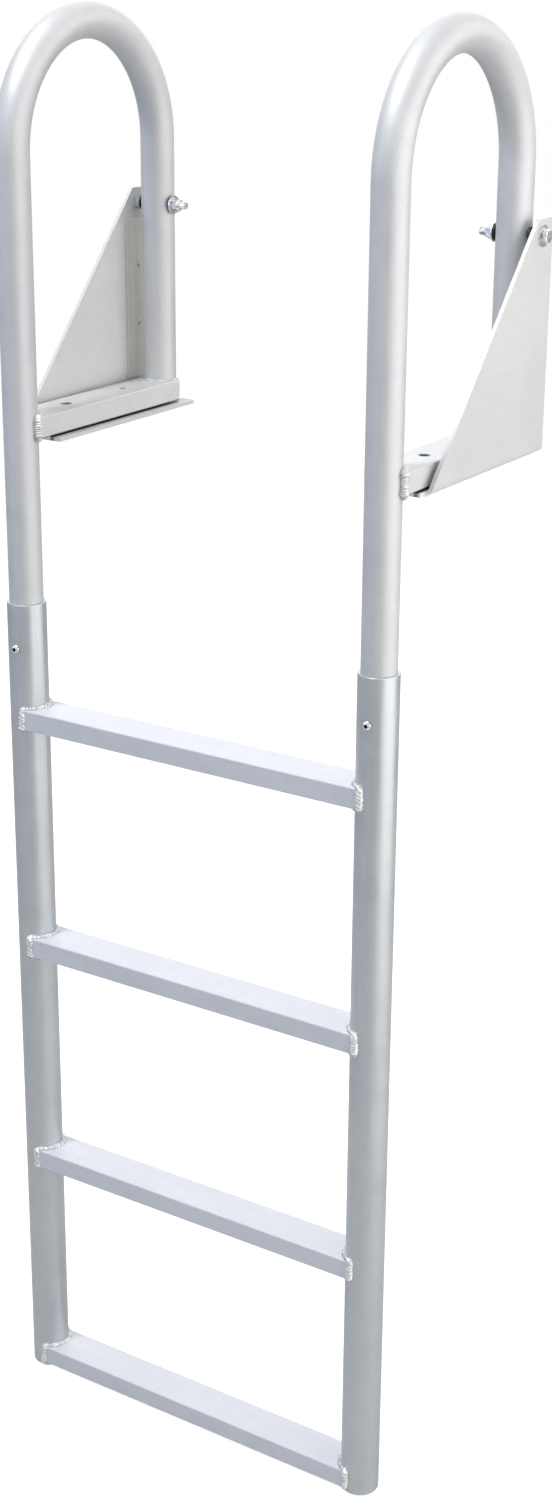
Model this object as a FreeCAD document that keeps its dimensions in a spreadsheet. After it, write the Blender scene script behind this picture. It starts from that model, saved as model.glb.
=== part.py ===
import FreeCAD, Part
import math
import os
import Sketcher

# Flip-up dock ladder in millimetres: two bent handrails telescoped into two stiles, four
# welded treads and two arms, hung on two bent brackets that bolt to the deck.
# +Z is up and the deck is z = 0. The water is towards -Y and the dock towards +Y.
# The origin is on the underside of the left bracket, midway between its two deck holes.
# Left pieces are modelled about x = 0 and mirrored about the ladder's middle plane.

doc = FreeCAD.newDocument("dock_ladder")

SIZES = [
    # tubes
    ("rail_diameter", 41.28),
    ("rail_wall", 2.4),
    ("stile_diameter", 47.63),
    ("stile_wall", 3.05),
    # general layout
    ("rail_spacing", 490.9),
    ("leg_spacing", 280.0),
    ("bend_height", 328.0),
    ("stile_top_drop", 192.3),
    ("stile_foot_drop", 1269.5),
    ("rail_insert", 120.0),
    ("rim_round", 0.8),
    ("foot_round", 2.0),
    # treads
    ("foot_tread_drop", 1238.0),
    ("tread_pitch", 304.8),
    ("tread_depth", 50.8),
    ("tread_height", 25.4),
    ("tread_wall", 3.0),
    ("tread_corner", 1.6),
    ("tread_overrun", 8.4),
    # arms
    ("arm_width", 50.8),
    ("arm_height", 25.4),
    ("arm_wall", 3.0),
    ("arm_corner", 1.6),
    ("arm_rest_gap", 2.0),
    ("arm_overrun", 4.5),
    ("arm_reach", 5.0),
    ("arm_access_hole", 13.5),
    ("arm_bolt_hole", 8.0),
    ("arm_bolt_hole_y", 33.0),
    ("arm_pin_hole", 5.0),
    ("arm_pin_hole_y", 67.0),
    # welds
    ("tread_weld", 4.0),
    ("arm_weld", 3.6),
    ("weld_end", 1.5),
    # brackets
    ("sheet", 4.76),
    ("bend_inside", 3.0),
    ("bracket_crown", 17.7),
    ("bracket_length", 275.0),
    ("bracket_top", 35.0),
    ("bracket_tail", 25.0),
    ("bracket_nose", 7.0),
    ("flange_margin", 9.1),
    ("deck_hole", 8.5),
    ("deck_hole_inset", 57.5),
    # hinge bolts
    ("hinge_height", 249.0),
    ("bolt_diameter", 9.52),
    ("bolt_play", 0.08),
    ("bolt_flats", 14.29),
    ("bolt_head", 6.5),
    ("bolt_tail", 8.0),
    ("clamp_nut", 8.0),
    ("lock_nut", 10.0),
    ("lock_collar", 3.0),
    ("outer_washer_diameter", 25.0),
    ("inner_washer_diameter", 22.0),
    ("washer", 2.0),
    ("pad_diameter", 18.0),
    ("pad", 2.0),
    ("washer_play", 0.25),
    ("side_play", 0.3),
    # guide strips
    ("guide_thickness", 3.0),
    ("guide_width", 34.0),
    ("guide_rear_gap", 19.0),
    ("guide_foot_gap", 2.0),
    ("guide_top_gap", 19.0),
    ("guide_corner", 6.0),
    ("guide_hole", 4.8),
    ("guide_hole_edge", 10.0),
    ("guide_hole_height", 100.0),
    ("guide_hole_pitch", 72.0),
    # splice bolts
    ("splice_drop", 55.4),
    ("splice_diameter", 6.35),
    ("splice_play", 0.2),
    ("splice_head_diameter", 11.5),
    ("splice_head", 3.4),
    ("splice_socket", 4.0),
    ("splice_socket_depth", 2.2),
    ("splice_nut_flats", 11.1),
    ("splice_nut", 5.5),
    ("splice_tail", 2.5),
]

# Lengths that follow from the driving ones, kept in the same sheet
DERIVED = [
    ("bracket_rear", "bracket_length / 2"),
    ("bracket_front", "- bracket_length / 2"),
    ("bracket_height", "hinge_height + bracket_crown"),
    ("deck_hole_y", "bracket_length / 2 - deck_hole_inset"),
    ("hinge_y", "bracket_rear - bracket_tail"),
    ("front_y", "hinge_y - leg_spacing"),
    ("rail_radius", "rail_diameter / 2"),
    ("stile_radius", "stile_diameter / 2"),
    ("arm_floor", "sheet + arm_rest_gap"),
    ("arm_top", "arm_floor + arm_height"),
    ("arm_start", "front_y + arm_overrun"),
    ("arm_end", "hinge_y + arm_reach"),
    ("plate_inside", "rail_radius + side_play + pad + clamp_nut"),
    ("plate_outside", "plate_inside + sheet"),
    ("flange_inside", "arm_width / 2 + flange_margin"),
    ("rail_foot", "stile_top_drop + rail_insert"),
    ("splice_z", "- stile_top_drop - splice_drop"),
    ("guide_rear", "bracket_rear - guide_rear_gap"),
    ("guide_front", "guide_rear - guide_width"),
    ("guide_foot", "arm_top + guide_foot_gap"),
    ("guide_top", "hinge_height - guide_top_gap"),
    ("pad_stack", "rail_radius + side_play + pad"),
    ("nut_stack", "pad_stack + washer"),
    ("button_radius", "( splice_head_diameter ^ 2 / 4 + splice_head ^ 2 ) / ( 2 * splice_head )"),
    ("sqrt3", "3 ^ 0.5"),
]

OVERCUT = 1.0
NAMES = {alias for alias, text in SIZES + DERIVED}

UPRIGHT = FreeCAD.Rotation()
ALONG_X = FreeCAD.Rotation(FreeCAD.Vector(0, 1, 0), 90)
ALONG_Y = FreeCAD.Rotation(FreeCAD.Vector(1, 0, 0), -90)
RING_ABOUT_X = FreeCAD.Rotation(FreeCAD.Vector(1, 1, 1), 120)

sheet = doc.addObject("Spreadsheet::Sheet", "Sizes")
for row, (alias, value) in enumerate(SIZES, 1):
    sheet.set("A%d" % row, alias)
    sheet.set("B%d" % row, str(value))
    sheet.setAlias("B%d" % row, alias)
for row, (alias, rule) in enumerate(DERIVED, len(SIZES) + 1):
    sheet.set("A%d" % row, alias)
    sheet.set("B%d" % row, "=" + rule)
    sheet.setAlias("B%d" % row, alias)
doc.recompute()

finished = []


def size(alias):
    return float(getattr(sheet, alias))


def formula(text):
    """Puts the sheet's name before each alias in a rule written with plain words."""
    words = text.replace("(", " ( ").replace(")", " ) ").split()
    return " ".join("Sizes." + word if word in NAMES else word for word in words)


def bind(thing, **rules):
    for name, text in rules.items():
        thing.setExpression(name, formula(text))


def place(thing, at, turn=UPRIGHT):
    thing.Placement = FreeCAD.Placement(FreeCAD.Vector(), turn)
    for axis, text in zip("xyz", at):
        thing.setExpression("Placement.Base." + axis, formula(text))


def finish(thing, node):
    thing.Label = node
    finished.append(thing)
    return thing


def block(name, length, width, height, at):
    box = doc.addObject("Part::Box", name)
    bind(box, Length=length, Width=width, Height=height)
    place(box, at)
    return box


def rod(name, radius, length, at, turn=UPRIGHT):
    cylinder = doc.addObject("Part::Cylinder", name)
    bind(cylinder, Radius=radius, Height=length)
    place(cylinder, at, turn)
    return cylinder


def hexagon(name, flats, length, at, turn=UPRIGHT):
    prism = doc.addObject("Part::Prism", name)
    prism.Polygon = 6
    bind(prism, Circumradius=flats + " / 3 ^ 0.5", Height=length)
    place(prism, at, turn)
    return prism


def dressed(name, flats, length, at, faces, turn=ALONG_X):
    """A hexagon whose corners are turned down to a round at the near and far faces named."""
    body = hexagon(name + "_hexagon", flats, length, at, turn)
    low = flats + " * 0.475"
    high = low + " + " + length + " * sqrt3"
    shapes = [body]
    if "near" in faces:
        shapes.append(cone(name + "_near", low, high, length, at, turn))
    if "far" in faces:
        shapes.append(cone(name + "_far", high, low, length, at, turn))
    return common(name, *shapes)


def cone(name, radius_1, radius_2, length, at, turn=UPRIGHT):
    result = doc.addObject("Part::Cone", name)
    bind(result, Radius1=radius_1, Radius2=radius_2, Height=length)
    place(result, at, turn)
    return result


def fuse(name, *pieces):
    result = doc.addObject("Part::MultiFuse", name)
    result.Shapes = list(pieces)
    result.Refine = True
    return result


def common(name, *pieces):
    result = doc.addObject("Part::MultiCommon", name)
    result.Shapes = list(pieces)
    return result


def cut(name, base, *tools):
    result = doc.addObject("Part::Cut", name)
    result.Base = base
    result.Tool = tools[0] if len(tools) == 1 else fuse(name + "_cutters", *tools)
    return result


def along(edge, axis):
    chord = edge.Vertexes[-1].Point - edge.Vertexes[0].Point
    return chord.Length > 0.01 and abs(chord.dot(axis)) > 0.999 * chord.Length


def round_edges(name, base, radius, chosen):
    """Rounds the edges of base for which chosen(edge) is true."""
    doc.recompute()
    result = doc.addObject("Part::Fillet", name)
    result.Base = base
    result.Edges = [(index, radius, radius) for index, edge in enumerate(base.Shape.Edges, 1)
                    if chosen(edge)]
    return result


def mirror(node, source):
    """The right-hand twin of a left piece, about the plane midway between the rails."""
    twin = doc.addObject("Part::Mirroring", node)
    twin.Source = source
    twin.Normal = FreeCAD.Vector(1, 0, 0)
    twin.setExpression("Base.x", formula("rail_spacing / 2"))
    return finish(twin, node)


def origin_plane(body, role):
    return next(plane for plane in body.Origin.OriginFeatures if plane.Role == role)


def sketch_on(body, role, name, offset="0"):
    sketch = body.newObject("Sketcher::SketchObject", name)
    sketch.AttachmentSupport = (origin_plane(body, role), [""])
    sketch.MapMode = "FlatFace"
    sketch.setExpression("AttachmentOffset.Base.z", formula(offset))
    return sketch


def drive(sketch, kind, where, start, text):
    """Adds one dimension and gives it its rule."""
    index = sketch.addConstraint(Sketcher.Constraint(kind, *where, start))
    sketch.setExpression("Constraints[%d]" % index, formula(text))


def outline(sketch, corners):
    """A closed chain of lines whose corners are given as pairs of rules."""
    turn = 2 * math.pi / len(corners)
    start = [FreeCAD.Vector(50 * math.cos(i * turn), 50 * math.sin(i * turn), 0)
             for i in range(len(corners))]
    first = None
    for i, point in enumerate(start):
        line = sketch.addGeometry(Part.LineSegment(point, start[(i + 1) % len(start)]), False)
        first = line if first is None else first
        if i:
            sketch.addConstraint(Sketcher.Constraint("Coincident", line - 1, 2, line, 1))
    sketch.addConstraint(Sketcher.Constraint("Coincident", line, 2, first, 1))
    for i, (x, y) in enumerate(corners):
        drive(sketch, "DistanceX", (first + i, 1), start[i].x, x)
        drive(sketch, "DistanceY", (first + i, 1), start[i].y, y)


def circle(sketch, x, y, radius):
    ring = sketch.addGeometry(Part.Circle(FreeCAD.Vector(10, 10, 0), FreeCAD.Vector(0, 0, 1), 5),
                              False)
    drive(sketch, "DistanceX", (ring, 3), 10, x)
    drive(sketch, "DistanceY", (ring, 3), 10, y)
    drive(sketch, "Radius", (ring,), 5, radius)


def extrude(body, kind, name, sketch, length):
    """A pad or a pocket of the sketch, half to each side of its plane."""
    result = body.newObject("PartDesign::" + kind, name)
    result.Profile = sketch
    result.Midplane = True
    bind(result, Length=length)
    return result


# Handrails: a tube bent over a half circle, with its front leg down inside the stile
def hoop(name, radius):
    front = rod(name + "_front", radius, "bend_height + rail_foot", ("0", "front_y", "- rail_foot"))
    rear = rod(name + "_rear", radius, "bend_height - arm_floor", ("0", "hinge_y", "arm_floor"))
    bend = doc.addObject("Part::Torus", name + "_bend")
    bend.Angle3 = 180
    bind(bend, Radius1="leg_spacing / 2", Radius2=radius)
    place(bend, ("0", "hinge_y - leg_spacing / 2", "bend_height"), RING_ABOUT_X)
    return fuse(name, front, bend, rear)


rail = finish(cut(
    "handrail",
    hoop("rail_outside", "rail_radius"),
    hoop("rail_inside", "rail_radius - rail_wall"),
    rod("hinge_bore", "bolt_diameter / 2 + bolt_play", "2 * rail_diameter",
        ("- rail_diameter", "hinge_y", "hinge_height"), ALONG_X),
    rod("rail_splice_bore", "splice_diameter / 2 + splice_play", "2 * rail_diameter",
        ("0", "front_y - rail_diameter", "splice_z"), ALONG_Y),
), "left_handrail")
mirror("right_handrail", rail)

# Stiles: a wider tube sleeved over the foot of the handrail
stile_length = "stile_foot_drop - stile_top_drop"
stile_blank = rod("stile_blank", "stile_radius", stile_length,
                  ("0", "front_y", "- stile_foot_drop"))
middle_z = -(size("stile_foot_drop") + size("stile_top_drop")) / 2
stile_foot = round_edges("stile_foot", stile_blank, size("foot_round"),
                         lambda edge: edge.Length > 100 and edge.CenterOfMass.z < middle_z)
stile_rim = round_edges("stile_rim", stile_foot, size("rim_round"),
                        lambda edge: edge.Length > 100 and edge.CenterOfMass.z > middle_z
                        and abs(edge.CenterOfMass.z + size("stile_top_drop")) < 0.01)
stile = finish(cut(
    "stile",
    stile_rim,
    rod("stile_inside", "stile_radius - stile_wall", stile_length + " + 2 * %g" % OVERCUT,
        ("0", "front_y", "- stile_foot_drop - %g" % OVERCUT)),
    rod("stile_splice_bore", "splice_diameter / 2 + splice_play", "2 * stile_diameter",
        ("0", "front_y - stile_diameter", "splice_z"), ALONG_Y),
), "left_stile")
mirror("right_stile", stile)

# Treads: rectangular tube, saddled round both stiles
X_AXIS = FreeCAD.Vector(1, 0, 0)
Y_AXIS = FreeCAD.Vector(0, 1, 0)
Z_AXIS = FreeCAD.Vector(0, 0, 1)


def saddle(name, radius, foot, height):
    near = rod(name + "_left", radius, height, ("0", "front_y", foot))
    far = rod(name + "_right", radius, height, ("rail_spacing", "front_y", foot))
    return fuse(name, near, far)


def tread(node, level):
    top = "( %d * tread_pitch - foot_tread_drop )" % level
    floor = top + " - tread_height"
    length = "rail_spacing - 2 * tread_overrun"
    box = block(node + "_box", length, "tread_depth", "tread_height",
                ("tread_overrun", "front_y - tread_depth / 2", floor))
    skin = round_edges(node + "_skin", box, size("tread_corner"), lambda edge: along(edge, X_AXIS))
    hollow = block(node + "_hollow", length + " + 2 * %g" % OVERCUT,
                   "tread_depth - 2 * tread_wall", "tread_height - 2 * tread_wall",
                   ("tread_overrun - %g" % OVERCUT, "front_y - tread_depth / 2 + tread_wall",
                    floor + " + tread_wall"))
    ends = saddle(node + "_saddle", "stile_radius", floor + " - %g" % OVERCUT,
                  "tread_height + 2 * %g" % OVERCUT)
    finish(cut(node + "_tube", skin, hollow, ends), node)
    return weld_round(node, skin, top)


def weld_round(node, skin, top):
    """The bead that joins the left end of one tread to its stile."""
    band = block(node + "_weld_band", "stile_radius + tread_weld", "tread_depth + 2 * tread_weld",
                 "tread_height + 2 * tread_weld",
                 ("tread_overrun - weld_end", "front_y - tread_depth / 2 - tread_weld",
                  top + " - tread_height - tread_weld"))
    collar = rod(node + "_weld_collar", "stile_radius + tread_weld",
                 "tread_height + 2 * tread_weld",
                 ("0", "front_y", top + " - tread_height - tread_weld"))
    post = rod(node + "_weld_post", "stile_radius", "tread_height + 4 * tread_weld",
               ("0", "front_y", top + " - tread_height - 2 * tread_weld"))
    return cut(node + "_weld", common(node + "_weld_ring", band, collar), skin, post)


beads = [tread("tread_%d" % number, 4 - number) for number in (1, 2, 3, 4)]
tread_welds = finish(fuse("tread_beads", *beads), "left_tread_welds")
mirror("right_tread_welds", tread_welds)

# Arms: rectangular tube saddled round the two legs of each handrail, above the deck
arm_length = "arm_end - arm_start"
arm_box = block("arm_box", "arm_width", arm_length, "arm_height",
                ("- arm_width / 2", "arm_start", "arm_floor"))
arm_skin = round_edges("arm_skin", arm_box, size("arm_corner"), lambda edge: along(edge, Y_AXIS))
arm_hollow = block("arm_hollow", "arm_width - 2 * arm_wall", arm_length + " + 2 * %g" % OVERCUT,
                   "arm_height - 2 * arm_wall",
                   ("arm_wall - arm_width / 2", "arm_start - %g" % OVERCUT, "arm_floor + arm_wall"))
hole_foot = "arm_floor - %g" % OVERCUT
hole_depth = "arm_height + 2 * %g" % OVERCUT
arm = finish(cut(
    "arm",
    arm_skin,
    arm_hollow,
    rod("arm_front_saddle", "rail_radius", hole_depth, ("0", "front_y", hole_foot)),
    rod("arm_rear_saddle", "rail_radius", hole_depth, ("0", "hinge_y", hole_foot)),
    rod("access_hole", "arm_access_hole / 2", hole_depth,
        ("0", "- deck_hole_y", hole_foot)),
    rod("bolt_hole", "arm_bolt_hole / 2", hole_depth, ("0", "arm_bolt_hole_y", hole_foot)),
    rod("pin_hole", "arm_pin_hole / 2", hole_depth, ("0", "arm_pin_hole_y", hole_foot)),
), "left_arm")
mirror("right_arm", arm)


def arm_bead(name, leg_y, start, depth, foot):
    """The bead round one end of the arm, from its foot up to just above the arm."""
    band = block(name + "_band", "arm_width + 2 * arm_weld", depth, "arm_height + 2 * arm_weld",
                 ("- arm_width / 2 - arm_weld", start, foot))
    collar = rod(name + "_collar", "rail_radius + 1.6 * arm_weld",
                 "arm_top + arm_weld - ( %s )" % foot, ("0", leg_y, foot))
    post = rod(name + "_post", "rail_radius", "3 * arm_height",
               ("0", leg_y, "arm_floor - arm_height"))
    return cut(name, common(name + "_ring", band, collar), arm_skin, post)


arm_welds = finish(fuse(
    "arm_beads",
    arm_bead("arm_front_bead", "front_y", "arm_start - weld_end", "rail_radius + arm_weld",
             "arm_floor - arm_weld / 2"),
    arm_bead("arm_rear_bead", "hinge_y", "hinge_y - rail_radius - 2 * arm_weld",
             "rail_radius + 2 * arm_weld + arm_reach + weld_end", "arm_floor"),
), "left_arm_welds")
mirror("right_arm_welds", arm_welds)

# Splice bolts: a button-head bolt through each sleeved joint, with its nut at the back
head_y = "front_y - stile_radius"
shank_length = "stile_diameter + splice_nut + splice_tail"
ball = doc.addObject("Part::Sphere", "splice_ball")
bind(ball, Radius="button_radius")
place(ball, ("0", head_y + " - splice_head + button_radius", "splice_z"))
button = common("splice_button", ball,
                rod("splice_head_rod", "splice_head_diameter", "splice_head + %g" % OVERCUT,
                    ("0", head_y + " - splice_head - %g" % OVERCUT, "splice_z"), ALONG_Y))
shank = rod("splice_shank", "splice_diameter / 2", shank_length, ("0", head_y, "splice_z"), ALONG_Y)
socket = hexagon("splice_socket_tool", "splice_socket", "splice_socket_depth + %g" % OVERCUT,
                 ("0", head_y + " - splice_head - %g" % OVERCUT, "splice_z"), ALONG_Y)
splice_bolt = finish(cut("splice_bolt", fuse("splice_blank", button, shank), socket),
                     "left_splice_bolt")
mirror("right_splice_bolt", splice_bolt)
nut_y = "front_y + stile_radius"
splice_nut = finish(cut(
    "splice_nut_cut",
    dressed("splice_nut_blank", "splice_nut_flats", "splice_nut", ("0", nut_y, "splice_z"), ["far"],
            ALONG_Y),
    rod("splice_nut_bore", "splice_diameter / 2", "splice_nut + 2 * %g" % OVERCUT,
        ("0", nut_y + " - %g" % OVERCUT, "splice_z"), ALONG_Y),
), "left_splice_nut")
mirror("right_splice_nut", splice_nut)

# Brackets: bent sheet, a tapering side plate over a flange that turns in under the arm
bracket = doc.addObject("PartDesign::Body", "bracket")
section = sketch_on(bracket, "XZ_Plane", "bracket_section")
outline(section, [
    ("- plate_outside", "0"),
    ("flange_inside", "0"),
    ("flange_inside", "sheet"),
    ("- plate_inside", "sheet"),
    ("- plate_inside", "bracket_height"),
    ("- plate_outside", "bracket_height"),
])
fold = extrude(bracket, "Pad", "bracket_fold", section, "bracket_length")
doc.recompute()


def bend_edges(radius_of):
    """The two long edges of the fold, each with the radius that the bend gives it."""
    picked = []
    for index, edge in enumerate(fold.Shape.Edges, 1):
        middle = edge.CenterOfMass
        if not along(edge, Y_AXIS):
            continue
        for x, z, radius in radius_of:
            if abs(middle.x - x) < 0.01 and abs(middle.z - z) < 0.01:
                picked.append(("Edge%d" % index, radius))
    return picked


inside = bend_edges([(-size("plate_inside"), size("sheet"), "bend_inside")])
outside = bend_edges([(-size("plate_outside"), 0.0, "bend_inside + sheet")])
inner_bend = bracket.newObject("PartDesign::Fillet", "inner_bend")
inner_bend.Base = (fold, [name for name, rule in inside])
bind(inner_bend, Radius="bend_inside")
doc.recompute()
outer_name = [
    "Edge%d" % index for index, edge in enumerate(inner_bend.Shape.Edges, 1)
    if along(edge, Y_AXIS) and abs(edge.CenterOfMass.x + size("plate_outside")) < 0.01
    and abs(edge.CenterOfMass.z) < 0.01
]
outer_bend = bracket.newObject("PartDesign::Fillet", "outer_bend")
outer_bend.Base = (inner_bend, outer_name)
bind(outer_bend, Radius="bend_inside + sheet")

# The taper is cut from the plate and its bend only, so the flange keeps its square end
taper_middle = "- ( plate_outside + plate_inside - bend_inside ) / 2"
taper = sketch_on(bracket, "YZ_Plane", "bracket_taper", taper_middle)
outline(taper, [
    ("bracket_front + bracket_nose", "0"),
    ("bracket_rear - bracket_top", "bracket_height"),
    ("bracket_front - 10", "bracket_height"),
    ("bracket_front - 10", "0"),
])
extrude(bracket, "Pocket", "bracket_slope", taper, "sheet + bend_inside")
bores = sketch_on(bracket, "YZ_Plane", "plate_bores")
circle(bores, "hinge_y", "hinge_height", "bolt_diameter / 2 + washer_play")
extrude(bracket, "Pocket", "plate_holes", bores, "4 * plate_outside")
deck = sketch_on(bracket, "XY_Plane", "deck_bores")
circle(deck, "0", "deck_hole_y", "deck_hole / 2")
circle(deck, "0", "- deck_hole_y", "deck_hole / 2")
extrude(bracket, "Pocket", "deck_holes", deck, "4 * sheet")
finish(bracket, "left_bracket")
mirror("right_bracket", bracket)

# Guide strips: flat bars on the inner faces of the plates, behind the legs' path
strip_blank = block("guide_blank", "guide_thickness", "guide_width", "guide_top - guide_foot",
                    ("- plate_inside", "guide_front", "guide_foot"))
strip_shape = round_edges(
    "guide_shape", strip_blank, size("guide_corner"),
    lambda edge: along(edge, X_AXIS) and edge.CenterOfMass.y > size("guide_rear") - 0.01)
screw_at = ("- plate_inside - sheet", "guide_rear - guide_hole_edge")
guide = finish(cut(
    "guide",
    strip_shape,
    rod("guide_low_hole", "guide_hole / 2", "4 * sheet", screw_at + ("guide_hole_height",),
        ALONG_X),
    rod("guide_high_hole", "guide_hole / 2", "4 * sheet",
        screw_at + ("guide_hole_height + guide_hole_pitch",), ALONG_X),
), "left_guide_strip")
mirror("right_guide_strip", guide)


# Hinge bolts and what each one carries, from the outside of the plate to the thread end
def hinge_ring(name, node, radius, bore, thickness, x):
    at = (x, "hinge_y", "hinge_height")
    ring = finish(cut(
        name,
        rod(name + "_disc", radius, thickness, at, ALONG_X),
        rod(name + "_bore", bore, "2 * " + thickness + " + 2 * %g" % OVERCUT,
            (x + " - %g" % OVERCUT, "hinge_y", "hinge_height"), ALONG_X),
    ), "left_" + node)
    mirror("right_" + node, ring)


loose = "bolt_diameter / 2 + washer_play"
hinge_ring("outer_washer", "outer_washer", "outer_washer_diameter / 2", loose, "washer",
           "- plate_outside - washer")
hinge_ring("outer_pad", "outer_pad", "pad_diameter / 2", loose, "pad", "- pad_stack")
hinge_ring("inner_pad", "inner_pad", "pad_diameter / 2", loose, "pad", "pad_stack - pad")
hinge_ring("inner_washer", "inner_washer", "inner_washer_diameter / 2", loose, "washer",
           "pad_stack")


def hinge_point(x):
    return (x, "hinge_y", "hinge_height")


hinge_bolt = finish(fuse(
    "hinge_bolt",
    dressed("hinge_head", "bolt_flats", "bolt_head",
            hinge_point("- plate_outside - washer - bolt_head"), ["near"]),
    rod("hinge_shank", "bolt_diameter / 2",
        "plate_outside + washer + nut_stack + lock_nut + bolt_tail",
        hinge_point("- plate_outside - washer"), ALONG_X),
), "left_hinge_bolt")
mirror("right_hinge_bolt", hinge_bolt)

clamp = finish(cut(
    "clamp_nut",
    dressed("clamp_nut_blank", "bolt_flats", "clamp_nut", hinge_point("- plate_inside"),
            ["near", "far"]),
    rod("clamp_nut_bore", "bolt_diameter / 2", "2 * clamp_nut",
        hinge_point("- plate_inside - clamp_nut / 2"), ALONG_X),
), "left_clamp_nut")
mirror("right_clamp_nut", clamp)

lock = finish(cut(
    "lock_nut",
    fuse("lock_nut_body",
         dressed("lock_nut_blank", "bolt_flats", "( lock_nut - lock_collar )",
                 hinge_point("nut_stack"), ["near"]),
         cone("lock_nut_dome", "bolt_flats / 2", "bolt_flats / 2 - 1", "lock_collar",
              hinge_point("nut_stack + lock_nut - lock_collar"), ALONG_X)),
    rod("lock_nut_bore", "bolt_diameter / 2", "2 * lock_nut",
        hinge_point("nut_stack - lock_nut / 2"), ALONG_X),
), "left_lock_nut")
mirror("right_lock_nut", lock)

doc.recompute()
os.makedirs("parts", exist_ok=True)
for thing in doc.Objects:
    bad = [state for state in thing.State if "Invalid" in state or "Error" in state]
    if bad:
        raise RuntimeError("%s is %s: %s" % (thing.Label, bad, thing.getStatusString()))
for thing in finished:
    shape = thing.Shape
    if shape.isNull() or not shape.isValid() or not shape.Solids:
        raise RuntimeError("%s has no valid solid" % thing.Label)
    shape.exportStep("parts/%s.step" % thing.Label)
    print(thing.Label, len(shape.Solids), round(shape.Volume), shape.BoundBox)
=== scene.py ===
import math
import bpy
import numpy as np
from mathutils import Matrix, Vector


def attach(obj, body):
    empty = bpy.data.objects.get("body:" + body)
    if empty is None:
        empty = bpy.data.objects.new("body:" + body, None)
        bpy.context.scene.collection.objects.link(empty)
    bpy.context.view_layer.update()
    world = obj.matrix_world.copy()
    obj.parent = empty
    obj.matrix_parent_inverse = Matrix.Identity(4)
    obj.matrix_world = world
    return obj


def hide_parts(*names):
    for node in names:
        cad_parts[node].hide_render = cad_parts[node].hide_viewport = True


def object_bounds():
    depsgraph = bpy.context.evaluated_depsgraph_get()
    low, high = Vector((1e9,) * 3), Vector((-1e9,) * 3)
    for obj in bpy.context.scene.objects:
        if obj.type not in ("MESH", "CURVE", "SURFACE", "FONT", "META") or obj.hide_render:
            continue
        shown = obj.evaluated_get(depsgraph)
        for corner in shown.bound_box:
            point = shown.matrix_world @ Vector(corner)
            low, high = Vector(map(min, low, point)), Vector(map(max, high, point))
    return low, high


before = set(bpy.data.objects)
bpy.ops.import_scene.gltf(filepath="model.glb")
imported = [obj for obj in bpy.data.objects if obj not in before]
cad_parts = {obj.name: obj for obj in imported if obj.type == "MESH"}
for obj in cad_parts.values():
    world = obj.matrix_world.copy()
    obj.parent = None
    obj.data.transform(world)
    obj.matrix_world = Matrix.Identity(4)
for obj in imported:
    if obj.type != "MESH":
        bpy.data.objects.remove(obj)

CAD_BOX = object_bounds()
MM = 0.001

# Sizes shared with the frame, in metres
RAIL_SPACING = 490.9 * MM
RAIL_RADIUS = 20.64 * MM
RAIL_WALL = 2.4 * MM
FRONT_Y = -167.5 * MM
HINGE_Y = 112.5 * MM
BEND_HEIGHT = 328.0 * MM
RAIL_FOOT = -312.3 * MM
ARM_TOP = 32.16 * MM
ARM_FLOOR = 6.76 * MM
ARM_HALF = 25.4 * MM
STILE_RADIUS = 23.815 * MM
TREAD_HALF_DEPTH = 25.4 * MM
TREAD_HEIGHT = 25.4 * MM
TREAD_TOPS = [(-1238.0 + 304.8 * k) * MM for k in range(4)]
HINGE_Z = 249.0 * MM
SPLICE_Z = -247.7 * MM
HOOP_RADIUS = (HINGE_Y - FRONT_Y) / 2
HOOP_RISE = BEND_HEIGHT - RAIL_FOOT
SIDES = {"left": 0.0, "right": RAIL_SPACING}

# Where the ears of a saddled end stop, measured from the post's middle
TREAD_START = 8.4 * MM
ARM_START = 4.5 * MM
ARM_REACH = 5.0 * MM

# Radius of the weld beads, and the length of one of their scales
TREAD_BEAD, TREAD_SCALE = 4.5 * MM, 4.6 * MM
ARM_FRONT_BEAD, ARM_REAR_BEAD, ARM_SCALE = 5.0 * MM, 2.5 * MM, 3.0 * MM

WHITE = (1.0, 1.0, 1.0)


# ---------------------------------------------------------------- meshes

def grid_faces(rows, columns, wrap_rows=False):
    """Quads of a grid of rows by columns points. Its columns always join round; its rows join
    round too where wrap_rows is true, and otherwise each end is closed by one flat face."""
    r = np.arange(rows if wrap_rows else rows - 1)
    r, c = np.meshgrid(r, np.arange(columns), indexing="ij")
    r2, c2 = (r + 1) % rows, (c + 1) % columns
    quads = np.stack([r * columns + c, r * columns + c2, r2 * columns + c2, r2 * columns + c], -1)
    faces = quads.reshape(-1, 4).tolist()
    if not wrap_rows:
        ring = np.arange(columns)
        faces += [ring[::-1].tolist(), (ring + (rows - 1) * columns).tolist()]
    return faces


def face_outward(points, faces):
    """The same faces, turned over where they enclose a negative volume."""
    flat = points.reshape(-1, 3)
    quads = np.array([f for f in faces if len(f) == 4])
    a, b, c, d = (flat[quads[:, k]] for k in range(4))
    volume = (np.cross(a, b) * c).sum() + (np.cross(a, c) * d).sum()
    return flat, faces if volume > 0 else [f[::-1] for f in faces]


def join(parts):
    """Several closed surfaces in one mesh, and the vectors kept at their points."""
    points, faces, vectors, first = [], [], [], 0
    for p, f, v in parts:
        points.append(p)
        vectors.append(v)
        faces += [[k + first for k in face] for face in f]
        first += len(p)
    return (np.vstack(points), faces), np.vstack(vectors)


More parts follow.
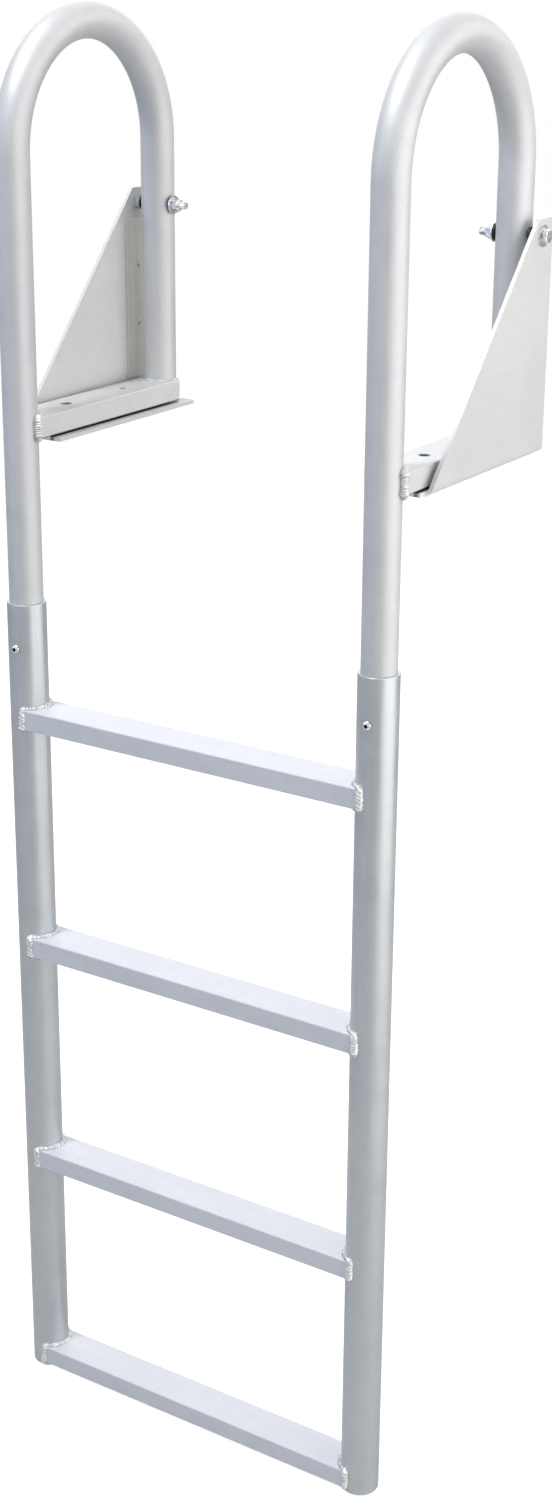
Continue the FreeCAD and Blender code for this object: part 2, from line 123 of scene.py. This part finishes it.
def make_piece(name, surface, body, material, replaces, drawn=None, sharp=None):
    """A mesh object at the origin from points and faces, riding on a body of the frame. drawn is
    the vector kept at each point for the material, and sharp the angle of edges left unsmoothed."""
    points, faces = surface
    mesh = bpy.data.meshes.new(name)
    mesh.from_pydata(points.tolist(), [], faces)
    mesh.polygons.foreach_set("use_smooth", [True] * len(mesh.polygons))
    if drawn is not None:
        attribute = mesh.attributes.new("drawn", "FLOAT_VECTOR", "POINT")
        attribute.data.foreach_set("vector", np.ascontiguousarray(drawn, np.float32).ravel())
    mesh.update()
    if sharp:
        mesh.set_sharp_from_angle(angle=math.radians(sharp))
    piece = bpy.data.objects.new(name, mesh)
    bpy.context.scene.collection.objects.link(piece)
    piece.data.materials.append(material)
    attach(piece, body)
    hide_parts(*replaces)


# ---------------------------------------------------------------- materials

class Nodes:
    """Short words for the nodes of one material."""

    def __init__(self, name, metallic):
        self.material = bpy.data.materials.new(name)
        self.material.use_nodes = True
        self.tree = self.material.node_tree
        self.shader = self.tree.nodes["Principled BSDF"]
        self.shader.inputs["Metallic"].default_value = metallic

    def add(self, kind, links=(), **values):
        node = self.tree.nodes.new(kind)
        for key, value in values.items():
            if key.replace("_", " ") in node.inputs:
                node.inputs[key.replace("_", " ")].default_value = value
            else:
                setattr(node, key, value)
        for socket, source in links:
            self.tree.links.new(source, node.inputs[socket])
        return node

    def place(self, attribute=None):
        if attribute:
            return self.add("ShaderNodeAttribute", attribute_name=attribute).outputs["Vector"]
        return self.add("ShaderNodeTexCoord").outputs["Object"]

    def scaled(self, vector, scale, rotation=(0, 0, 0)):
        return self.add("ShaderNodeMapping", [("Vector", vector)],
                        Scale=scale, Rotation=rotation).outputs["Vector"]

    def noise(self, vector, scale, detail, roughness, distortion=0.0):
        return self.add("ShaderNodeTexNoise", [("Vector", vector)], Scale=scale, Detail=detail,
                        Roughness=roughness, Distortion=distortion).outputs["Fac"]

    def spots(self, vector, scale):
        return self.add("ShaderNodeTexVoronoi", [("Vector", vector)],
                        Scale=scale).outputs["Distance"]

    def spread(self, value, low, high, to_low=0.0, to_high=1.0):
        return self.add("ShaderNodeMapRange", [("Value", value)], From_Min=low, From_Max=high,
                        To_Min=to_low, To_Max=to_high).outputs["Result"]

    def band(self, value, rise, fall, top=1.0):
        """top between two values and 0 outside them: rise and fall are where each edge is soft."""
        return self.times(self.spread(value, *rise), self.spread(value, *fall, top, 0.0))

    def math(self, kind, *values):
        node = self.add("ShaderNodeMath", operation=kind)
        for socket, value in zip(node.inputs, values):
            if isinstance(value, (int, float)):
                socket.default_value = value
            else:
                self.tree.links.new(value, socket)
        return node.outputs[0]

    def plus(self, first, second):
        return self.math("ADD", first, second)

    def minus(self, first, second):
        return self.math("SUBTRACT", first, second)

    def times(self, first, second):
        return self.math("MULTIPLY", first, second)

    def blend(self, factor, first, second):
        node = self.add("ShaderNodeMix", data_type="RGBA")
        self.tree.links.new(factor, node.inputs[0])
        for socket, value in ((node.inputs[6], first), (node.inputs[7], second)):
            if isinstance(value, tuple):
                socket.default_value = (*value, 1.0)
            else:
                self.tree.links.new(value, socket)
        return node.outputs[2]

    def shade(self, color, value):
        return self.add("ShaderNodeHueSaturation", [("Color", color), ("Value", value)]).outputs[0]

    def bump(self, height, distance, under=None):
        links = [("Height", height)] + ([("Normal", under)] if under else [])
        return self.add("ShaderNodeBump", links, Strength=0.5, Distance=distance).outputs[0]

    def finish(self, color, roughness, normal):
        for socket, value in (("Base Color", color), ("Roughness", roughness), ("Normal", normal)):
            self.tree.links.new(value, self.shader.inputs[socket])
        return self.material


def off_rail(n, place):
    """How far a point lies sideways from the nearer handrail's middle, and its y and z."""
    x, y, z = n.add("ShaderNodeSeparateXYZ", [("Vector", place)]).outputs
    other = n.math("ABSOLUTE", n.minus(x, RAIL_SPACING))
    return n.math("MINIMUM", n.math("ABSOLUTE", x), other), y, z


# Each of these functions says how much painted shade darkens a finish at a place, in metres
# from the rail's middle, along y or up from the deck; the bracket's also paints a highlight.
# Its soft edges are fitted to faces of the frame's nodes.

def arm_painted_shade(n, place):
    """Painted shade along the arm's lower corners, in its bore and on the walls of its holes."""
    off, _, z = off_rail(n, place)
    # Painted shade: darker lower corners over the flange, darker bore and hole walls
    under = n.times(n.spread(z, 0.0070, 0.0086, 0.9, 0.0), n.spread(off, 0.0205, 0.0215))
    inside = n.times(n.spread(off, 0.0222, 0.0232, 0.8, 0.0),
                     n.band(z, (0.0080, 0.0095), (0.0296, 0.0312)))
    return n.math("MAXIMUM", under, inside)


def bracket_painted_light(n, place):
    """Two lines of painted shade on the flange, under the arm's lower corners. The flange's cut
    ends at front and rear, which lie between its two faces, are painted lighter, a painted
    highlight."""
    off, y, z = off_rail(n, place)
    # Painted shade under the arm's lower corners
    line = n.times(n.band(off, (0.0190, 0.0205), (0.0240, 0.0262), 0.93),
                   n.spread(y, 0.1125, 0.1165, 1.0, 0.0))
    # Painted highlight on the flange's cut ends
    edge = n.times(n.band(z, (0.0002, 0.0006), (0.0041, 0.0045), 0.32),
                   n.spread(off, 0.032, 0.034, 1.0, 0.0))
    return n.minus(line, edge)


def strip_painted_shade(n, place):
    """Painted shade: the strip darkens towards its front edge and is lightest at its rear."""
    _, y, _ = off_rail(n, place)
    return n.spread(y, 0.089, 0.108, 0.32, 0.0)


def socket_painted_shade(n, place):
    """Painted shade in the sleeve bolt's hex socket and round the edge of its head on the tube."""
    off, _, z = off_rail(n, place)
    up = n.minus(z, SPLICE_Z)
    out = n.math("SQRT", n.plus(n.times(off, off), n.times(up, up)))
    # Painted shade: dark socket and dark rim of the head
    return n.math("MAXIMUM", n.spread(out, 0.0022, 0.0027, 0.93, 0.0),
                  n.spread(out, 0.0050, 0.0056, 0.0, 0.75))


def drawn_aluminium(name, stretch, cool, warm, low, high, metallic, attribute=None, grime=None):
    """Drawn or extruded aluminium: die lines along the tube, a soft cloudy oxide, dull smudges
    and a few small nicks. stretch is the scale of the lines along x, y and z, per metre, and low
    and high are its roughness between and on the lines."""
    n = Nodes(name, metallic)
    at = n.place(attribute)
    lines = n.noise(n.scaled(at, stretch), 1.0, 5.0, 0.7)
    fine = n.noise(n.scaled(at, tuple(3.1 * s for s in stretch)), 1.0, 3.0, 0.6)
    cloud = n.noise(at, 11.0, 4.0, 0.6, 0.6)
    smudge = n.noise(at, 46.0, 3.0, 0.6)
    nick = n.spread(n.spots(at, 62.0), 0.035, 0.075, 1.0, 0.0)
    tone = n.blend(n.spread(cloud, 0.34, 0.66), cool, warm)
    value = n.plus(n.spread(lines, 0.3, 0.7, 0.955, 1.03), n.spread(smudge, 0.3, 0.7, -0.02, 0.02))
    value = n.minus(value, n.times(nick, 0.2))
    # Painted shade, where a function for it is given
    if grime:
        value = n.minus(value, grime(n, at))
    rough = n.plus(n.spread(lines, 0.3, 0.7, low, high), n.spread(cloud, 0.3, 0.7, -0.04, 0.04))
    normal = n.bump(n.plus(lines, n.times(fine, 0.5)), 0.00004)
    normal = n.bump(n.minus(1.0, nick), 0.0001, normal)
    return n.finish(n.shade(tone, value), rough, normal)


def rolled_sheet(name, light, dark, metallic, grime):
    """Mill-finish sheet: a faint rolling grain along the deck, soft patches and light scuffs."""
    n = Nodes(name, metallic)
    at = n.place()
    grain = n.noise(n.scaled(at, (500.0, 14.0, 420.0)), 1.0, 4.0, 0.65)
    patch = n.noise(at, 9.0, 4.0, 0.65, 0.8)
    speck = n.noise(at, 300.0, 2.0, 0.6)
    scuff = n.noise(n.scaled(at, (60.0, 160.0, 22.0), (0.5, 0.2, 0.9)), 1.0, 5.0, 0.75)
    tone = n.blend(n.spread(patch, 0.32, 0.68), dark, light)
    value = n.plus(n.spread(grain, 0.3, 0.7, 0.975, 1.02), n.spread(speck, 0.3, 0.7, -0.015, 0.015))
    # Painted shade, and for the bracket a painted highlight on the cut ends
    value = n.minus(value, grime(n, at))
    rough = n.plus(n.spread(patch, 0.3, 0.7, 0.46, 0.56), n.spread(scuff, 0.6, 0.72, 0.0, 0.09))
    normal = n.bump(n.plus(grain, n.times(speck, 0.6)), 0.00003)
    return n.finish(n.shade(tone, value), rough, normal)


def weld_metal(name):
    """Fresh bead with fine crystal grain and random sooty patches. Its scales' crests, its ridge
    and its lumps are painted lighter as a painted highlight, which leaves the hollows darker.
    The attribute holds the height of the scales, how near the point is to the bead's ridge and
    its share of a lump."""
    n = Nodes(name, 0.4)
    at = n.place()
    soot = n.noise(at, 160.0, 4.0, 0.65)
    grain = n.noise(at, 1400.0, 2.0, 0.6)
    scale, ridge, lump = n.add("ShaderNodeSeparateXYZ", [("Vector", n.place("drawn"))]).outputs
    # Painted highlight: scale crests, the ridge and lumps are painted lighter; the hollows stay
    # darker
    crest = n.times(n.math("POWER", scale, 2.5), n.spread(ridge, 0.0, 0.7, 0.3, 1.0))
    bright = n.plus(n.times(crest, 0.55), n.spread(soot, 0.35, 0.65, -0.05, 0.25))
    bright = n.plus(bright, n.times(lump, n.spread(soot, 0.35, 0.6, 0.0, 0.7)))
    tone = n.blend(bright, (0.46, 0.475, 0.49), (0.95, 0.95, 0.945))
    return n.finish(tone, n.spread(soot, 0.3, 0.7, 0.46, 0.30), n.bump(grain, 0.00003))


def turned_steel(name, grime=None):
    """Stainless fastener: faint turning marks, small bright and dull patches."""
    n = Nodes(name, 1.0)
    at = n.place()
    marks = n.noise(n.scaled(at, (900.0, 120.0, 120.0)), 1.0, 3.0, 0.6)
    patch = n.noise(at, 170.0, 3.0, 0.6)
    tone = (0.93, 0.92, 0.91)
    color = n.blend(n.spread(patch, 0.38, 0.6), tuple(0.55 * c for c in tone), tone)
    # Painted shade, where a function for it is given
    if grime:
        color = n.shade(color, n.minus(1.0, grime(n, at)))
    rough = n.plus(n.spread(marks, 0.3, 0.7, 0.10, 0.22), n.spread(patch, 0.3, 0.7, -0.03, 0.03))
    return n.finish(color, rough, n.bump(marks, 0.00002))


def black_nylon(name):
    """Moulded washer: near black with a fine matt grain."""
    n = Nodes(name, 0.0)
    at = n.place()
    grain = n.noise(at, 900.0, 3.0, 0.6)
    color = n.blend(n.spread(grain, 0.3, 0.7), (0.012, 0.012, 0.013), (0.03, 0.03, 0.032))
    return n.finish(color, n.spread(grain, 0.3, 0.7, 0.42, 0.58), n.bump(grain, 0.00005))


RAIL = drawn_aluminium("rail_drawn", (620.0, 620.0, 9.0), (0.60, 0.61, 0.63),
                       (0.64, 0.645, 0.655), 0.52, 0.64, metallic=0.62, attribute="drawn")
STILE = drawn_aluminium("stile_drawn", (620.0, 620.0, 9.0), (0.53, 0.56, 0.585),
                        (0.57, 0.59, 0.605), 0.34, 0.46, metallic=0.85)
TREAD = drawn_aluminium("tread_extruded", (8.0, 560.0, 560.0), (0.80, 0.815, 0.88),
                        (0.84, 0.855, 0.91), 0.40, 0.50, metallic=0.12)
ARM = drawn_aluminium("arm_extruded", (560.0, 8.0, 560.0), (0.71, 0.72, 0.73),
                      (0.75, 0.755, 0.755), 0.46, 0.58, metallic=0.4, grime=arm_painted_shade)
SHEET = rolled_sheet("bracket_sheet", (0.735, 0.74, 0.745), (0.70, 0.71, 0.71), 0.25,
                     bracket_painted_light)
# The strip's base is painted much lighter than the sheet, painted light against the leg's shade
STRIP = rolled_sheet("guide_strip_rubbed", (0.95, 0.96, 0.90), (0.90, 0.92, 0.86), 0.3,
                     strip_painted_shade)
BEAD = weld_metal("weld_bead")
STEEL = turned_steel("stainless_bright")
SOCKET = turned_steel("stainless_socket", socket_painted_shade)
PAD = black_nylon("black_nylon")


# ---------------------------------------------------------------- handrails

def hoop_path(s):
    """The tube's middle line in the plane of the hoop. Along s it goes straight up the front leg,
    over a half circle whose width is the leg spacing, and straight down the back leg.
    Returns y, z and the direction's y and z."""
    turn = np.clip((s - HOOP_RISE) / HOOP_RADIUS, 0.0, math.pi)
    down = np.clip(s - HOOP_RISE - math.pi * HOOP_RADIUS, 0.0, None)
    y = (HINGE_Y + FRONT_Y) / 2 - HOOP_RADIUS * np.cos(turn)
    z = RAIL_FOOT + np.minimum(s, HOOP_RISE) + HOOP_RADIUS * np.sin(turn) - down
    return y, z, np.sin(turn), np.cos(turn)


def handrail(side, x0):
    """Bent tube with its wall: a circle carried along the hoop's middle line on the outside, and
    back along the bore. In the bend it is a little flatter in the hoop's plane, by one part in
    ninety where it is bent most, and wider across it by half as much, as a bending die leaves it.
    The place kept for the material runs along the tube, and differs from one side to the other."""
    over = HOOP_RISE + math.pi * HOOP_RADIUS
    total = over + BEND_HEIGHT - ARM_FLOOR
    s = np.concatenate([np.linspace(0, HOOP_RISE, 60)[:-1], np.linspace(HOOP_RISE, over, 97)[:-1],
                        np.linspace(over, total, 34)])
    bore = np.concatenate([[total], np.linspace(over, HOOP_RISE, 25), [0.0]])
    r = np.concatenate([np.full_like(s, RAIL_RADIUS), np.full_like(bore, RAIL_RADIUS - RAIL_WALL)])
    s = np.concatenate([s, bore])
    theta = np.linspace(0, 2 * math.pi, 64, endpoint=False)
    y, z, ty, tz = (along[:, None] for along in hoop_path(s))
    bent = np.sin(np.clip((s[:, None] - HOOP_RISE) / HOOP_RADIUS, 0, math.pi)) ** 2
    across = r[:, None] * np.cos(theta) * (1.0 + bent / 180.0)
    out = r[:, None] * np.sin(theta) * (1.0 - bent / 90.0)
    # The profile's second axis is the direction turned by a quarter: away from the hoop's middle
    points = np.stack([x0 + across, y - out * tz, z + out * ty], -1)
    drawn = np.stack([x0 * 3 + across, out, np.broadcast_to(s[:, None], out.shape)], -1)
    surface = face_outward(points, grid_faces(len(s), len(theta), wrap_rows=True))
    make_piece(side + "_handrail_tube", surface, "ladder", RAIL, [side + "_handrail"],
               drawn.reshape(-1, 3), sharp=50)


# ---------------------------------------------------------------- welds

def bead(path, outward, seed, radius, lump, pitch):
    """A weld bead: a round profile carried along a closed path. Its radius swells and falls once
    for each puddle, the puddles lean back at the middle of the bead so that they read as scales,
    a slow wander makes the bead thicker and thinner along its length, and lump swells it further.
    path, outward, radius and lump are arrays of points, of the directions in which the bead faces,
    of its sizes and of the share of a lump. The height of the scales is kept for the material."""
    rng = np.random.default_rng(seed)
    step = np.linalg.norm(np.roll(path, -1, 0) - path, axis=1)
    s, total = np.cumsum(step) - step, step.sum()
    turns = 2 * math.pi * s[:, None] / total

    def waver(first, size):
        """A smooth random line round the loop: eight waves, the longest of which fits it first
        times."""
        waves = np.arange(first, first + 8)
        return (np.sin(turns * waves + rng.uniform(0, 6.28, 8)) * rng.normal(0, size, 8)).sum(1)

    wander, jitter = waver(1, 0.06), waver(7, 0.11)
    ahead = np.roll(path, -1, 0) - np.roll(path, 1, 0)
    ahead /= np.linalg.norm(ahead, axis=1)[:, None]
    out = outward - (outward * ahead).sum(1)[:, None] * ahead
    out /= np.linalg.norm(out, axis=1)[:, None]
    side = np.cross(ahead, out)
    phi = np.linspace(0, 2 * math.pi, 28, endpoint=False)
    crest = np.clip(np.cos(phi), 0, 1)
    lean, lateness, scale_height = 0.6, 1.5, 0.3
    phase = (s / total * round(total / pitch) + jitter)[:, None] - lean * crest ** 2
    scale = np.abs(np.sin(math.pi * (phase % 1.0) ** lateness))
    thick = radius * (0.84 + wander + 0.12 * lump)
    r = thick[:, None] + scale_height * radius[:, None] * scale * (0.35 + 0.65 * crest)
    points = (path[:, None, :] + out[:, None, :] * (r * np.cos(phi))[:, :, None]
              + side[:, None, :] * (r * np.sin(phi))[:, :, None])
    ripple = np.stack([scale, scale * 0 + crest, scale * 0 + lump[:, None]], -1)
    return (*face_outward(points, grid_faces(len(path), len(phi), wrap_rows=True)),
            ripple.reshape(-1, 3))


def resample(corners, spacing):
    """Points at even spacing along a closed chain of corners."""
    chain = np.vstack([corners, corners[:1]])
    length = np.concatenate([[0], np.cumsum(np.linalg.norm(np.diff(chain, axis=0), axis=1))])
    at = np.linspace(0, length[-1], int(round(length[-1] / spacing)), endpoint=False)
    return np.stack([np.interp(at, length, chain[:, k]) for k in range(chain.shape[1])], -1)


def smooth_round(values, reach=6):
    """A moving average along a closed loop."""
    turns = [np.roll(values, k, 0) for k in range(-reach, reach + 1)]
    return np.mean(turns, 0)


def saddle_bead(half_width, half_height, post, reach, seed, size, pitch, far=1.0):
    """The seam where a rectangular tube meets a round post whose axis is z, the tube running off
    along +x. It follows the post over the tube's top, goes down the middle of the end of the ear
    that the saddle leaves at x = reach, back under the tube and up the other ear. It faces away
    from the post, up or down on the flats and away from the ear on the ends. It is thinner on the
    flats than on the ends and swells at the four corners and, a little less, down the ears. On the
    side of +y its size is the share far of the other side's."""
    off_post, off_ear, off_flat = 0.5 * MM, 0.8 * MM, 0.2 * MM
    spacing, turn_over, lump_reach = 0.45 * MM, 2 * MM, 4.6 * MM
    opening = math.acos(reach / post)
    angle = np.linspace(-opening, opening, 60)
    lap = np.stack([np.cos(angle), np.sin(angle)], -1) * (post + off_post)
    ear = np.array([reach - off_ear, (post * math.sin(opening) + half_width) / 2])
    lap = np.vstack([ear * (1, -1), lap, ear])
    level = np.full(len(lap), half_height + off_flat)
    path = resample(np.vstack([np.column_stack([lap, level]),
                               np.column_stack([lap[::-1], -level])]), spacing)
    path = smooth_round(path, 4)
    x, y, z = path.T
    on_flat = np.clip((np.abs(z) - half_height + turn_over) / turn_over, 0, 1)
    out = path * (0.9, 0.9, 0.0) / np.hypot(x, y)[:, None]
    out += np.stack([0.8 * (on_flat - 1), 0 * y, on_flat * np.sign(z)], -1)
    corner = np.stack([x - ear[0], np.abs(y) - ear[1], np.abs(z) - half_height], -1)
    near_corner = np.exp(-(np.linalg.norm(corner, axis=1) / lump_reach) ** 2)
    lump = np.maximum(near_corner * (0.55 + 0.45 * np.sign(z)), 0.75 * (1.0 - on_flat))
    size = size * smooth_round(np.where(y > 0, far, 1.0), 12) * (1.0 - 0.2 * on_flat)
    return bead(path, smooth_round(out), seed, size, lump, pitch)


def tread_welds(side, x0):
    """Four seams, one at each tread's end. The right side's treads run off the other way."""
    away = 1.0 if side == "left" else -1.0
    parts = []
    for k, top in enumerate(TREAD_TOPS):
        points, faces, ripple = saddle_bead(TREAD_HALF_DEPTH, TREAD_HEIGHT / 2, STILE_RADIUS,
                                            TREAD_START, 10 * k + (away > 0), TREAD_BEAD,
                                            TREAD_SCALE)
        points = points * (away, away, 1.0) + (x0, FRONT_Y, top - TREAD_HEIGHT / 2)
        parts.append((points, faces, ripple))
    surface, ripple = join(parts)
    make_piece(side + "_tread_beads", surface, "ladder", BEAD, [side + "_tread_welds"],
               ripple)


def arm_welds(side, x0):
    """The seams at the front leg, where the arm runs off along +y, and at the back leg, where it
    runs off along -y and its ears reach past the leg's middle. The front bead is heavier on the
    side of +x."""
    parts = []
    for away, y0, reach, seed, size, far in ((1.0, FRONT_Y, ARM_START, 70, ARM_FRONT_BEAD, 0.55),
                                             (-1.0, HINGE_Y, -ARM_REACH, 90, ARM_REAR_BEAD, 1.0)):
        points, faces, ripple = saddle_bead(ARM_HALF, (ARM_TOP - ARM_FLOOR) / 2, RAIL_RADIUS, reach,
                                            seed + (side == "left"), size, ARM_SCALE, far)
        points = points[:, [1, 0, 2]] * (-away, away, 1.0)
        parts.append((points + (x0, y0, (ARM_TOP + ARM_FLOOR) / 2), faces, ripple))
    surface, ripple = join(parts)
    make_piece(side + "_arm_beads", surface, "ladder", BEAD, [side + "_arm_welds"], ripple)


# ---------------------------------------------------------------- hinge bolts

def hinge_bolt(side, x0):
    """Hex bolt turned about x. Each ring's radius is a function of the angle: the hexagon's, where
    it is flats / 2 / cos(angle from the flat), cut down to the chamfer's cone, on the head, and
    the shank's, with a triangular thread that climbs one pitch a turn, on the free end. x is 0 at
    the rail's middle and grows outward, to the head outside the bracket."""
    outward = -1.0 if side == "left" else 1.0
    flats, head, shank = 14.29 * MM, 6.5 * MM, 4.76 * MM
    seat, shank_end, thread_start, tail = 37.7 * MM, -10.0 * MM, -12.0 * MM, 42.94 * MM
    pitch, thread_depth = 1.5875 * MM, 0.85 * MM
    cone_radius, cone_slope = flats * 0.475, 1.732
    theta = np.linspace(0, 2 * math.pi, 72, endpoint=False)
    from_flat = (theta + math.pi / 6) % (math.pi / 3) - math.pi / 6
    hexagon = flats / 2 / np.cos(from_flat)
    depth = np.array([0.0, 0.15, 0.35, 0.6, 0.9, 1.3, 1.8, 3.0, 4.5, 5.8])[:, None] * MM
    faced = np.minimum(hexagon, cone_radius + depth * cone_slope)
    climb = np.arange(thread_start, -tail + 1.1 * MM, -pitch / 8)[:, None]
    wave = np.abs(((climb / pitch - theta / (2 * math.pi)) % 1.0) * 2 - 1)
    thread = shank - thread_depth * (1 - wave) ** 0.9
    ring = np.ones_like(theta)
    x = np.concatenate([[seat + head], (seat + head - depth).ravel(),
                        [seat + 0.3 * MM, seat, seat, shank_end], climb.ravel(),
                        [-tail + 0.9 * MM, -tail]])[:, None]
    r = np.vstack([ring * flats * 0.43, faced, hexagon - 0.1 * MM, ring * (shank + 1.6 * MM),
                   ring * shank, ring * shank, thread, ring * (shank - 0.5 * MM),
                   ring * (shank - 1.3 * MM)])
    points = np.stack([x0 + outward * np.broadcast_to(x, r.shape), HINGE_Y + r * np.cos(theta),
                       HINGE_Z + outward * r * np.sin(theta)], -1)
    surface = face_outward(points, grid_faces(len(x), len(theta)))
    make_piece(side + "_hinge_bolt_threaded", surface, "brackets", STEEL,
               [side + "_hinge_bolt"], sharp=25)


for side, x0 in SIDES.items():
    handrail(side, x0)
    tread_welds(side, x0)
    arm_welds(side, x0)
    hinge_bolt(side, x0)

# ---------------------------------------------------------------- finishes of the frame's nodes

FINISHES = {"stile": STILE, "arm": ARM, "bracket": SHEET, "guide_strip": STRIP, "handrail": RAIL,
            "outer_pad": PAD, "inner_pad": PAD, "tread_welds": BEAD, "arm_welds": BEAD,
            "splice_bolt": SOCKET}
for node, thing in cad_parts.items():
    plain = node.replace("left_", "").replace("right_", "")
    finish = TREAD if plain[-1].isdigit() else FINISHES.get(plain, STEEL)
    for material_slot in thing.material_slots:
        material_slot.material = finish


# ---------------------------------------------------------------- floor, world, lamps, camera

def seen_directly(tree, camera, mirror):
    """A value for rays from the camera or through glass and one for rays from a mirror, else 0."""
    ray = tree.nodes.new("ShaderNodeLightPath")
    total = None
    for kind, level in (("Is Camera Ray", camera), ("Is Transmission Ray", camera),
                        ("Is Glossy Ray", mirror)):
        node = tree.nodes.new("ShaderNodeMath")
        node.operation = "MULTIPLY_ADD"
        tree.links.new(ray.outputs[kind], node.inputs[0])
        node.inputs[1].default_value = level
        node.inputs[2].default_value = 0.0
        if total:
            tree.links.new(total, node.inputs[2])
        total = node.outputs[0]
    return total


def background(tree, strength):
    """The output of a white background of that strength."""
    node = tree.nodes.new("ShaderNodeBackground")
    node.inputs["Color"].default_value = (*WHITE, 1.0)
    node.inputs["Strength"].default_value = strength
    return node.outputs[0]


FLOOR_GAP = 1.5 * MM
FLOOR_REACH = 12.0
level = CAD_BOX[0][2] - FLOOR_GAP
floor_mesh = bpy.data.meshes.new("floor")
floor_mesh.from_pydata([(x * FLOOR_REACH, y * FLOOR_REACH, level)
                        for x, y in ((-1, -1), (1, -1), (1, 1), (-1, 1))], [], [(0, 1, 2, 3)])
floor = bpy.data.objects.new("floor", floor_mesh)
bpy.context.scene.collection.objects.link(floor)
paper = bpy.data.materials.new("paper_floor")
paper.use_nodes = True
tree = paper.node_tree
shader = tree.nodes["Principled BSDF"]
shader.inputs["Base Color"].default_value = (0.6, 0.6, 0.6, 1.0)
shader.inputs["Roughness"].default_value = 0.9
shader.inputs["Specular IOR Level"].default_value = 0.0
shader.inputs["Emission Color"].default_value = (*WHITE, 1.0)
tree.links.new(seen_directly(tree, camera=0.9, mirror=0.2), shader.inputs["Emission Strength"])
floor_mesh.materials.append(paper)

world = bpy.data.worlds.new("studio")
bpy.context.scene.world = world
world.use_nodes = True
tree = world.node_tree
tree.nodes.clear()
either = tree.nodes.new("ShaderNodeMixShader")
tree.links.new(seen_directly(tree, camera=1.0, mirror=1.0), either.inputs[0])
tree.links.new(background(tree, 0.2), either.inputs[1])
tree.links.new(background(tree, 1.0), either.inputs[2])
tree.links.new(either.outputs[0], tree.nodes.new("ShaderNodeOutputWorld").inputs[0])


def softbox(name, target, away, width, height, radiance, tint=WHITE):
    """A rectangular lamp that stands at away from target and faces it, its height as near upright
    as it can be. Its watts are those of a flat face of its size that is as bright as radiance."""
    lamp = bpy.data.lights.new(name, "AREA")
    lamp.shape = "RECTANGLE"
    lamp.size, lamp.size_y, lamp.color = width, height, tint
    lamp.energy = radiance * math.pi * width * height
    lamp_object = bpy.data.objects.new(name, lamp)
    bpy.context.scene.collection.objects.link(lamp_object)
    place = target + Vector(away)
    facing = (target - place).to_track_quat("-Z", "Y").to_matrix().to_4x4()
    lamp_object.matrix_world = Matrix.Translation(place) @ facing
    lamp_object.visible_camera = False


middle = Vector((RAIL_SPACING / 2, FRONT_Y, -0.35))
softbox("side_box", middle, (2.3, 0.1, 0.3), 3.4, 2.6, 1.7, (1.0, 0.985, 0.95))
softbox("rear_box", middle, (1.7, 2.7, 1.8), 2.6, 1.6, 1.1)
softbox("back_box", middle, (-1.9, 2.9, 1.9), 3.4, 2.4, 0.8)
softbox("top_box", middle, (-0.3, 0.1, 3.1), 4.4, 3.8, 0.2)
softbox("key_box", middle, (-0.6, -1.04, 3.3), 0.5, 0.5, 75.0, (0.97, 0.98, 1.0))
softbox("front_box", middle, (-2.2, -2.3, 0.7), 3.6, 2.4, 0.46, (0.22, 0.5, 1.0))

# The camera was solved from the photograph's straight edges: its place, its lens, how far it is
# turned to the left of +Y, how far it looks down and how far it rolls
CAMERA_PLACE = (1.63482, -2.16307, 0.56792)
CAMERA_ANGLES = (32.613, 20.344, 0.415)
camera_data = bpy.data.cameras.new("camera")
camera_data.sensor_fit = "VERTICAL"
camera_data.sensor_height = 36.0
camera_data.lens = 53.166
camera_data.clip_end = 200.0
camera = bpy.data.objects.new("camera", camera_data)
bpy.context.scene.collection.objects.link(camera)
turn, dip, roll = (math.radians(angle) for angle in CAMERA_ANGLES)
forward = Vector((-math.sin(turn) * math.cos(dip), math.cos(turn) * math.cos(dip), -math.sin(dip)))
flat = Vector((math.cos(turn), math.sin(turn), 0.0))
upright = flat.cross(forward)
right = math.cos(roll) * flat + math.sin(roll) * upright
up = -math.sin(roll) * flat + math.cos(roll) * upright
facing = Matrix((right, up, -forward)).transposed().to_4x4()
camera.matrix_world = Matrix.Translation(CAMERA_PLACE) @ facing
bpy.context.scene.camera = camera

bpy.context.scene.view_settings.view_transform = "Standard"
